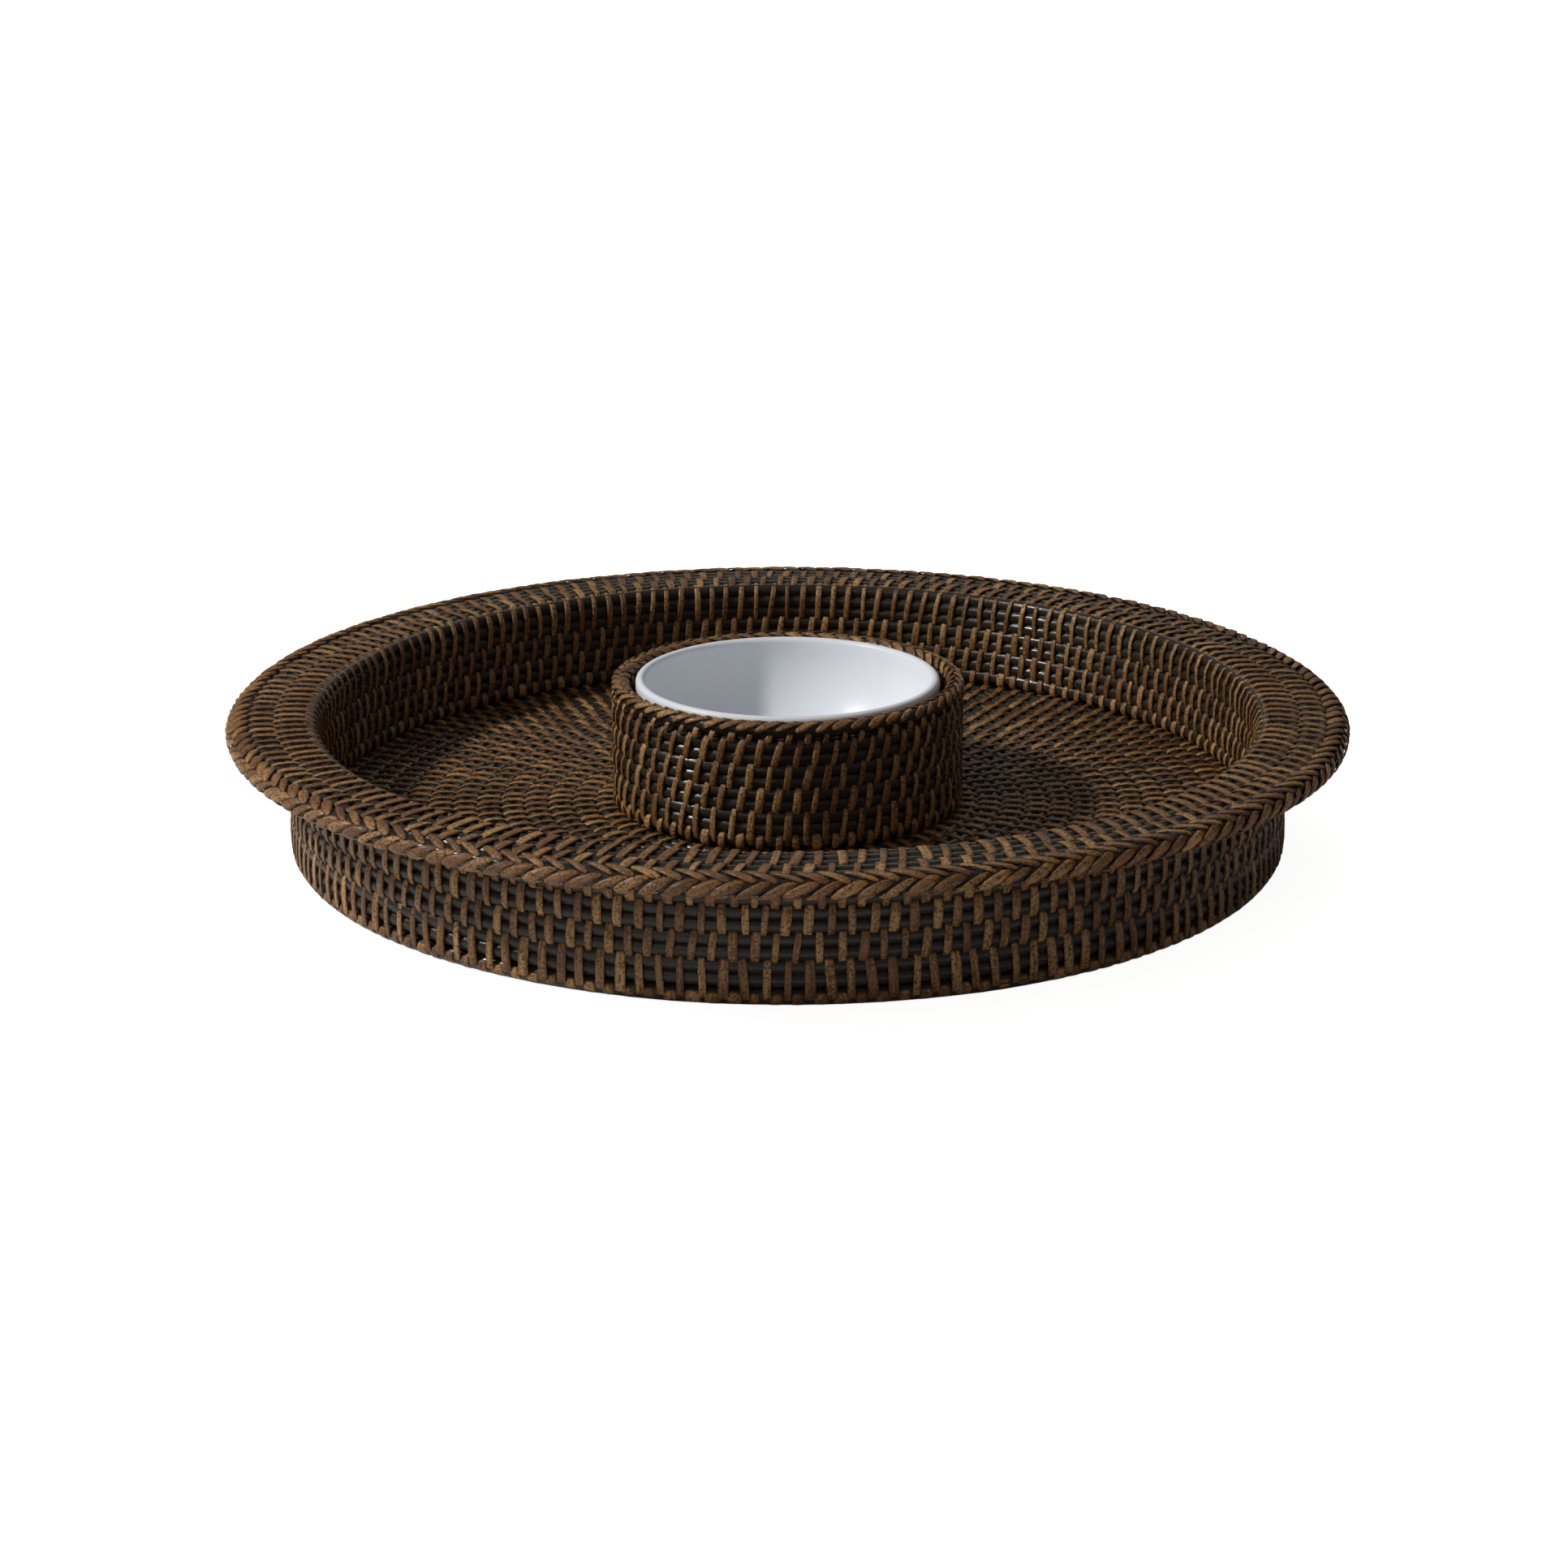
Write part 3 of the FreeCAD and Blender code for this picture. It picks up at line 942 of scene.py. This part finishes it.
class WEAVE_OT_rim(bpy.types.Operator):
    """Weaves the flat rim, on its top and its underside"""

    bl_idname = "weave.rim"
    bl_label = "Rim"

    def execute(self, context):
        weave = context.scene.weave_settings
        thick, overlap = weave.peel_thickness, weave.overlap
        canes = start_piece("rim_canes")
        first = outer_radius("shoulder_course")
        spacing = (RIM_RADIUS - first) / (2 * len(RIM))
        cane = min(1.2 * spacing, RIM_TOP - RIM_UNDER - BOTH_FACES * thick) / 2
        height = RIM_TOP - CANE_DEPTH * thick - cane
        lay_canes(canes, 2 * len(RIM), first + spacing / 2, height, cane, seed=7, radius_step=spacing)
        finish_weaving(canes, RIM)

        guide = Guide("rim_guide", inside_line())
        lashing = start_piece("rim_lashing")
        row = (weave.wall_stitches, lashing_peel())
        seam = outer_radius(RIM[0])
        look = {"bow": -0.3 * MM, "end_drop": 1.0 * MM}
        # the inner row of the rim goes on over the shoulder
        ends = (seam + overlap, RIM_TOP), on_shoulder(132)
        lash(lashing, guide, ends, *row, seed=301, stagger=0.5, lean=math.radians(-6.0), **look)
        ends = (RIM_RADIUS, RIM_TOP), (seam - overlap, RIM_TOP)
        lash(lashing, guide, ends, *row, seed=302, lift=0.05 * MM, lean=math.radians(-8.0), **look)
        level = RIM_UNDER + peel_inset()
        under = Guide("rim_under_guide", [(SKIRT_RADIUS - 2 * MM, level), (RIM_RADIUS + 2 * MM, level)])
        seam = (SKIRT_RADIUS + RIM_RADIUS) / 2
        for number, (start, end) in enumerate(((SKIRT_RADIUS, seam), (seam, RIM_RADIUS))):
            ends = (start - overlap, RIM_UNDER), (end + overlap, RIM_UNDER)
            lash(lashing, under, ends, *row, seed=310 + number, stagger=0.5 * number)
        finish_weaving(lashing, RIM)
        guide.drop()
        under.drop()
        return {"FINISHED"}


class WEAVE_OT_edge_braid(bpy.types.Operator):
    """Plaits the braid round the tray's edge"""

    bl_idname = "weave.edge_braid"
    bl_label = "Edge Braid"

    def execute(self, context):
        weave = context.scene.weave_settings
        bottom = low("edge_braid")
        middle, half = (RIM_TOP + bottom) / 2, (RIM_TOP - bottom) / 2
        core = start_piece("edge_braid_core")
        depth = CORE_DEPTH * weave.peel_thickness
        cane = half - depth
        # the second cane fills the space up to the rim's last one
        lay_canes(core, 2, TRAY_RADIUS - depth - cane, middle, cane, seed=8, radius_step=-2 * MM)
        finish_weaving(core, ["edge_braid"])

        guide = Guide("braid_guide", braid_line(bottom, middle, half))
        nose = (TRAY_RADIUS - half, middle, half)
        ridge, over, chin, under = (on_arc(*nose, angle) for angle in (46, 62, -46, -80))
        inner = (RIM_RADIUS - 0.6 * MM, RIM_TOP)
        width = weave.braid_width
        legs = (
            ((ridge, inner), 58, 0.0, 1.75, 1.05 * width, 0.7),
            ((chin, over), 117, 0.62, 1.95, 0.98 * width, 1.3),
            ((under, chin), 97, 0.2, 3.2, 0.9 * width, 0.8),
        )
        look = {"row_radius": TRAY_RADIUS, "lean_spread": math.radians(4)}
        look.update(end_drop=0.6 * MM, taper=0.75)
        braid("edge_braid_plait", guide, legs, weave.wall_stitches, seed=400, node="edge_braid", **look)
        guide.drop()
        return {"FINISHED"}


class WEAVE_OT_floor_mat(bpy.types.Operator):
    """Weaves the tray's round floor, ring by ring, on both faces"""

    bl_idname = "weave.floor_mat"
    bl_label = "Floor Mat"

    def execute(self, context):
        weave = context.scene.weave_settings
        edges = [0.0] + [outer_radius(node) for node in FLOOR]
        rim = edges[-1]
        canes = start_piece("floor_canes")
        spacing = rim / (2 * len(FLOOR))
        cane = min(1.1 * spacing, FLOOR_TOP - FLOOR_UNDER - BOTH_FACES * weave.peel_thickness) / 2
        height = (FLOOR_TOP + FLOOR_UNDER) / 2
        rings = 2 * len(FLOOR)
        lay_canes(canes, rings, spacing / 2, height, cane, seed=9, radius_step=spacing, around=96)
        finish_weaving(canes, FLOOR)

        top, under = FLOOR_TOP - peel_inset(), FLOOR_UNDER + peel_inset()
        faces = (
            ("floor_lashing_top", [(rim, top), (0.0, top)], 500, False),
            ("floor_lashing_under", [(0.0, under), (rim, under)], 600, True),
        )
        look = {"end_drop": 1.3 * MM, "lean_spread": math.radians(4)}
        for name, points, seed, outwards in faces:
            guide = Guide(name + "_guide", points)
            lashing = start_piece(name)
            level = points[0][1]
            for number, (start, end) in enumerate(zip(edges, edges[1:])):
                count = max(6, round(math.tau * (start + end) / 2 / weave.floor_pitch))
                inner = (max(start - weave.overlap, 0.6 * MM), level)
                outer = (min(end + weave.overlap, rim), level)
                ends = (inner, outer) if outwards else (outer, inner)
                row = (count, lashing_peel(), seed + number)
                lash(lashing, guide, ends, *row, stagger=0.37 * number, **look)
            finish_weaving(lashing, FLOOR)
            guide.drop()
        return {"FINISHED"}


class WEAVE_OT_collar(bpy.types.Operator):
    """Weaves the collar that holds the bowl, with the braid on its top edge"""

    bl_idname = "weave.collar"
    bl_label = "Collar"

    def execute(self, context):
        weave = context.scene.weave_settings
        thick, overlap, width = weave.peel_thickness, weave.overlap, weave.peel_width
        nodes = ["collar_base", *COLLAR, "collar_braid"]
        canes = start_piece("collar_canes")
        spacing = (high(COLLAR[-1]) - low(COLLAR[0])) / (2 * len(COLLAR))
        half = (COLLAR_RADIUS - COLLAR_HOLE) / 2
        middle = COLLAR_HOLE + half
        crown = high("collar_braid") + PLAIT_RISE
        cane = half - 0.95 * thick
        first = low(COLLAR[0]) - spacing / 2
        rings = 2 * len(COLLAR) + 1
        lay_canes(canes, rings, middle, first, cane, seed=10, height_step=spacing, around=96)
        lay_canes(canes, 1, middle, crown - 1.2 * thick - cane, cane, seed=11, around=96)
        finish_weaving(canes, nodes)

        guide = Guide("collar_guide", collar_line(middle, half, crown))
        count = weave.collar_stitches
        crest = high(COLLAR[-1])
        # each row is its number, its low end, its high end and its look
        rows = []
        for number, node in enumerate(COLLAR):
            bottom = low(node) - overlap if number else FLOOR_TOP + 1.5 * MM
            look = {"stagger": 0.5 * (number % 2), "peel_width": 0.86 * width, "wander": 0.07}
            look["lean"] = math.radians(-6.0 - 2.2 * number)
            rows.append((number, bottom, high(node) + overlap, look))
        # the short rows at the collar's foot and under its plait
        rows.append((9, FLOOR_TOP, high("collar_base") + 0.4 * MM, {"stagger": 0.5}))
        look = {"lean": math.radians(-14.0), "peel_width": 0.8 * width, "end_drop": 0.9 * MM}
        rows.append((10, crest - overlap, crest + 3.4 * MM, look))
        sides = (
            ("collar_lashing_outside", COLLAR_RADIUS, 700, False),
            ("collar_lashing_inside", COLLAR_HOLE, 720, True),
        )
        for name, side, seed, downwards in sides:
            lashing = start_piece(name)
            for number, bottom, top, look in rows:
                ends = ((side, top), (side, bottom)) if downwards else ((side, bottom), (side, top))
                lash(lashing, guide, ends, count, inner_peel_painted_light(), seed + number, **look)
            finish_weaving(lashing, nodes)

        shoulder = low("collar_braid") + 4.4 * MM
        width = 0.8 * weave.braid_width
        legs = (
            (((COLLAR_RADIUS, shoulder), (middle, crown)), 118, 0.0, 2.2, width, 0.6),
            (((middle, crown), (COLLAR_HOLE, shoulder)), 62, 0.5, 2.2, width, 0.6),
        )
        look = {"row_radius": middle, "lean_spread": math.radians(6)}
        look.update(end_drop=0.5 * MM, taper=0.6)
        braid("collar_plait", guide, legs, count, seed=740, node="collar_braid", **look)
        guide.drop()
        return {"FINISHED"}


def bowl_section(bottom, top, lip, settings):
    """The bowl's section, from the middle of its underside round its lip to the middle of its inside."""
    foot = settings.foot_radius
    foot_width, foot_height, recess = 4 * MM, 3 * MM, 2 * MM
    lip_depth, edge = 4 * MM, 0.9 * MM
    # the foot ring
    inner_foot = foot - foot_width
    section = [(0.0, bottom + recess), (inner_foot - 1 * MM, bottom + recess)]
    section += [(inner_foot, bottom + 1.2 * MM)]
    section += arc(inner_foot + 1 * MM, bottom + edge, edge, 190, 270, 4)
    section += arc(foot - edge, bottom + edge, edge, -90, 0, 4)
    section += [(foot - 0.1 * MM, bottom + foot_height - 0.4 * MM)]
    # the outside, an arc that ends upright under the lip
    start = bottom + foot_height
    rise, run = top - lip_depth - start, lip - foot
    bend = (run**2 + rise**2) / (2 * run)
    steps = 22
    for step in range(steps + 1):
        share = step / steps
        reach = math.sqrt(bend**2 - (rise * (1 - share)) ** 2)
        section.append((lip - bend + reach, start + rise * share))
    # the lip and the inside
    half = settings.lip_thickness / 2
    inner_lip = lip - settings.lip_thickness
    section += [(lip, top - half - 1 * MM)]
    section += arc(lip - half, top - half, half, 0, 180, 12)
    section += [(inner_lip, top - half - 1 * MM)]
    inside_bottom = bottom + recess + settings.base_thickness
    depth = top - lip_depth - inside_bottom
    section += arc(inner_lip - depth, top - lip_depth, depth, 0, -90, 28)
    return section + [(0.0, inside_bottom)]


class WEAVE_OT_dip_bowl(bpy.types.Operator):
    """Turns the glazed dip bowl"""

    bl_idname = "weave.dip_bowl"
    bl_label = "Dip Bowl"

    def execute(self, context):
        lip = outer_radius("dip_bowl")
        section = bowl_section(low("dip_bowl"), high("dip_bowl"), lip, context.scene.bowl_settings)
        shape = bmesh.new()
        steps = 160
        rings = []
        for r, z in section:
            if r < 1e-6:
                rings.append([shape.verts.new((0.0, 0.0, z))])
                continue
            ring = []
            for i in range(steps):
                turn = math.tau * i / steps
                # hand-turned, so a hair out of round
                sway = r * (1.0 + 0.0016 * math.sin(3 * turn + 40 * z) * (r / lip))
                ring.append(shape.verts.new((sway * math.cos(turn), sway * math.sin(turn), z)))
            rings.append(ring)
        for first, second in zip(rings, rings[1:]):
            for i in range(steps):
                j = (i + 1) % steps
                if len(first) == 1:
                    shape.faces.new((first[0], second[j], second[i]))
                elif len(second) == 1:
                    shape.faces.new((first[i], first[j], second[0]))
                else:
                    shape.faces.new((first[i], first[j], second[j], second[i]))
        bmesh.ops.recalc_face_normals(shape, faces=shape.faces)
        mesh = bpy.data.meshes.new("glazed_dip_bowl")
        shape.to_mesh(mesh)
        shape.free()
        for polygon in mesh.polygons:
            polygon.use_smooth = True
        mesh.materials.append(glaze_material())
        declare(start_piece("glazed_dip_bowl", mesh), BOWL_BODY, ["dip_bowl"])
        return {"FINISHED"}


def lay_floor(glow):
    """A pale floor, shown to the camera whiter than the lights alone make it."""
    mesh = bpy.data.meshes.new("stage_floor")
    half = 6.0
    corners = [(-half, -half, 0), (half, -half, 0), (half, half, 0), (-half, half, 0)]
    mesh.from_pydata(corners, [], [(0, 1, 2, 3)])
    paint, tree, shader = new_material("Stage Paper", (0.9, 0.9, 0.9))
    seen = put(tree, "ShaderNodeLightPath").outputs["Is Camera Ray"]
    wires = {
        "Base Color": (0.93, 0.93, 0.93, 1.0),
        "Roughness": 0.9,
        "Specular IOR Level": 0.1,
        "Emission Color": (1.0, 1.0, 1.0, 1.0),
        "Emission Strength": times(tree, seen, glow),
    }
    wire(tree, shader, wires)
    mesh.materials.append(paint)
    start_piece("stage_floor", mesh)


def light_room(scene, strength):
    """An even white light all round, which the camera sees as plain white."""
    world = bpy.data.worlds.new("Studio")
    world.use_nodes = True
    tree = world.node_tree
    seen = put(tree, "ShaderNodeLightPath").outputs["Is Camera Ray"]
    shown = times_plus(tree, seen, 1.02 - strength, strength)
    wire(tree, tree.nodes["Background"], {"Color": (1.0, 1.0, 1.0, 1.0), "Strength": shown})
    scene.world = world


def hang_light(scene, name, place, size, power, colour):
    """A round soft light that points at the middle of the tray's foot."""
    data = bpy.data.lights.new(name, "AREA")
    data.shape = "DISK"
    data.size = size
    data.energy = power
    data.color = colour
    lamp = bpy.data.objects.new(name, data)
    lamp.location = place
    lamp.rotation_mode = "QUATERNION"
    lamp.rotation_quaternion = (-lamp.location).to_track_quat("-Z", "Y")
    scene.collection.objects.link(lamp)


class WEAVE_OT_stage(bpy.types.Operator):
    """Puts the floor, the lights and the camera round the tray"""

    bl_idname = "weave.stage"
    bl_label = "Stage"

    def execute(self, context):
        scene = context.scene
        stage = scene.stage_settings
        power = stage.key_power
        lay_floor(stage.floor_glow)
        light_room(scene, stage.room_light)
        hang_light(scene, "key_light", (-1.40, -0.22, 1.34), 0.22, power, (1.0, 0.985, 0.96))
        hang_light(scene, "back_light", (0.2, 1.6, 1.2), 0.9, 0.06 * power, (1.0, 0.97, 0.93))
        hang_light(scene, "front_light", (-0.7, -1.6, 0.8), 0.8, 0.045 * power, (1.0, 0.98, 0.95))
        data = bpy.data.cameras.new("camera")
        data.lens = stage.lens
        data.sensor_width = 36.0
        data.shift_x = -0.0023
        camera = bpy.data.objects.new("camera", data)
        camera.location = (0.0, -stage.camera_distance, stage.camera_height)
        camera.rotation_euler = (math.pi / 2 - stage.camera_pitch, 0.0, 0.0)
        scene.collection.objects.link(camera)
        scene.camera = camera
        scene.view_settings.view_transform = "Standard"
        return {"FINISHED"}


class WEAVE_PT_panel(bpy.types.Panel):
    """Lists the pieces of the server"""

    bl_idname = "WEAVE_PT_panel"
    bl_label = "Chip and Dip Server"
    bl_space_type = "VIEW_3D"
    bl_region_type = "UI"
    bl_category = "Weave"

    def draw(self, context):
        scene = context.scene
        for settings in (scene.weave_settings, scene.bowl_settings, scene.stage_settings):
            column = self.layout.column(align=True)
            for name in settings.bl_rna.properties.keys():
                if name not in {"rna_type", "name"}:
                    column.prop(settings, name)
        for operator in OPERATORS:
            self.layout.operator(operator.bl_idname)


SETTINGS = (
    ("weave_settings", WeaveSettings),
    ("bowl_settings", BowlSettings),
    ("stage_settings", StageSettings),
)
OPERATORS = (
    WEAVE_OT_stage,
    WEAVE_OT_outer_wall,
    WEAVE_OT_inner_wall,
    WEAVE_OT_rim,
    WEAVE_OT_edge_braid,
    WEAVE_OT_floor_mat,
    WEAVE_OT_collar,
    WEAVE_OT_dip_bowl,
)


def register():
    for name, kind in SETTINGS:
        bpy.utils.register_class(kind)
        setattr(bpy.types.Scene, name, bpy.props.PointerProperty(type=kind))
    for kind in (*OPERATORS, WEAVE_PT_panel):
        bpy.utils.register_class(kind)


def unregister():
    for kind in (WEAVE_PT_panel, *reversed(OPERATORS)):
        bpy.utils.unregister_class(kind)
    for name, kind in reversed(SETTINGS):
        delattr(bpy.types.Scene, name)
        bpy.utils.unregister_class(kind)


def main():
    register()
    bpy.ops.weave.stage()
    bpy.ops.weave.outer_wall()
    bpy.ops.weave.inner_wall()
    bpy.ops.weave.rim()
    bpy.ops.weave.edge_braid()
    bpy.ops.weave.floor_mat()
    bpy.ops.weave.collar()
    bpy.ops.weave.dip_bowl()


if __name__ == "__main__":
    main()
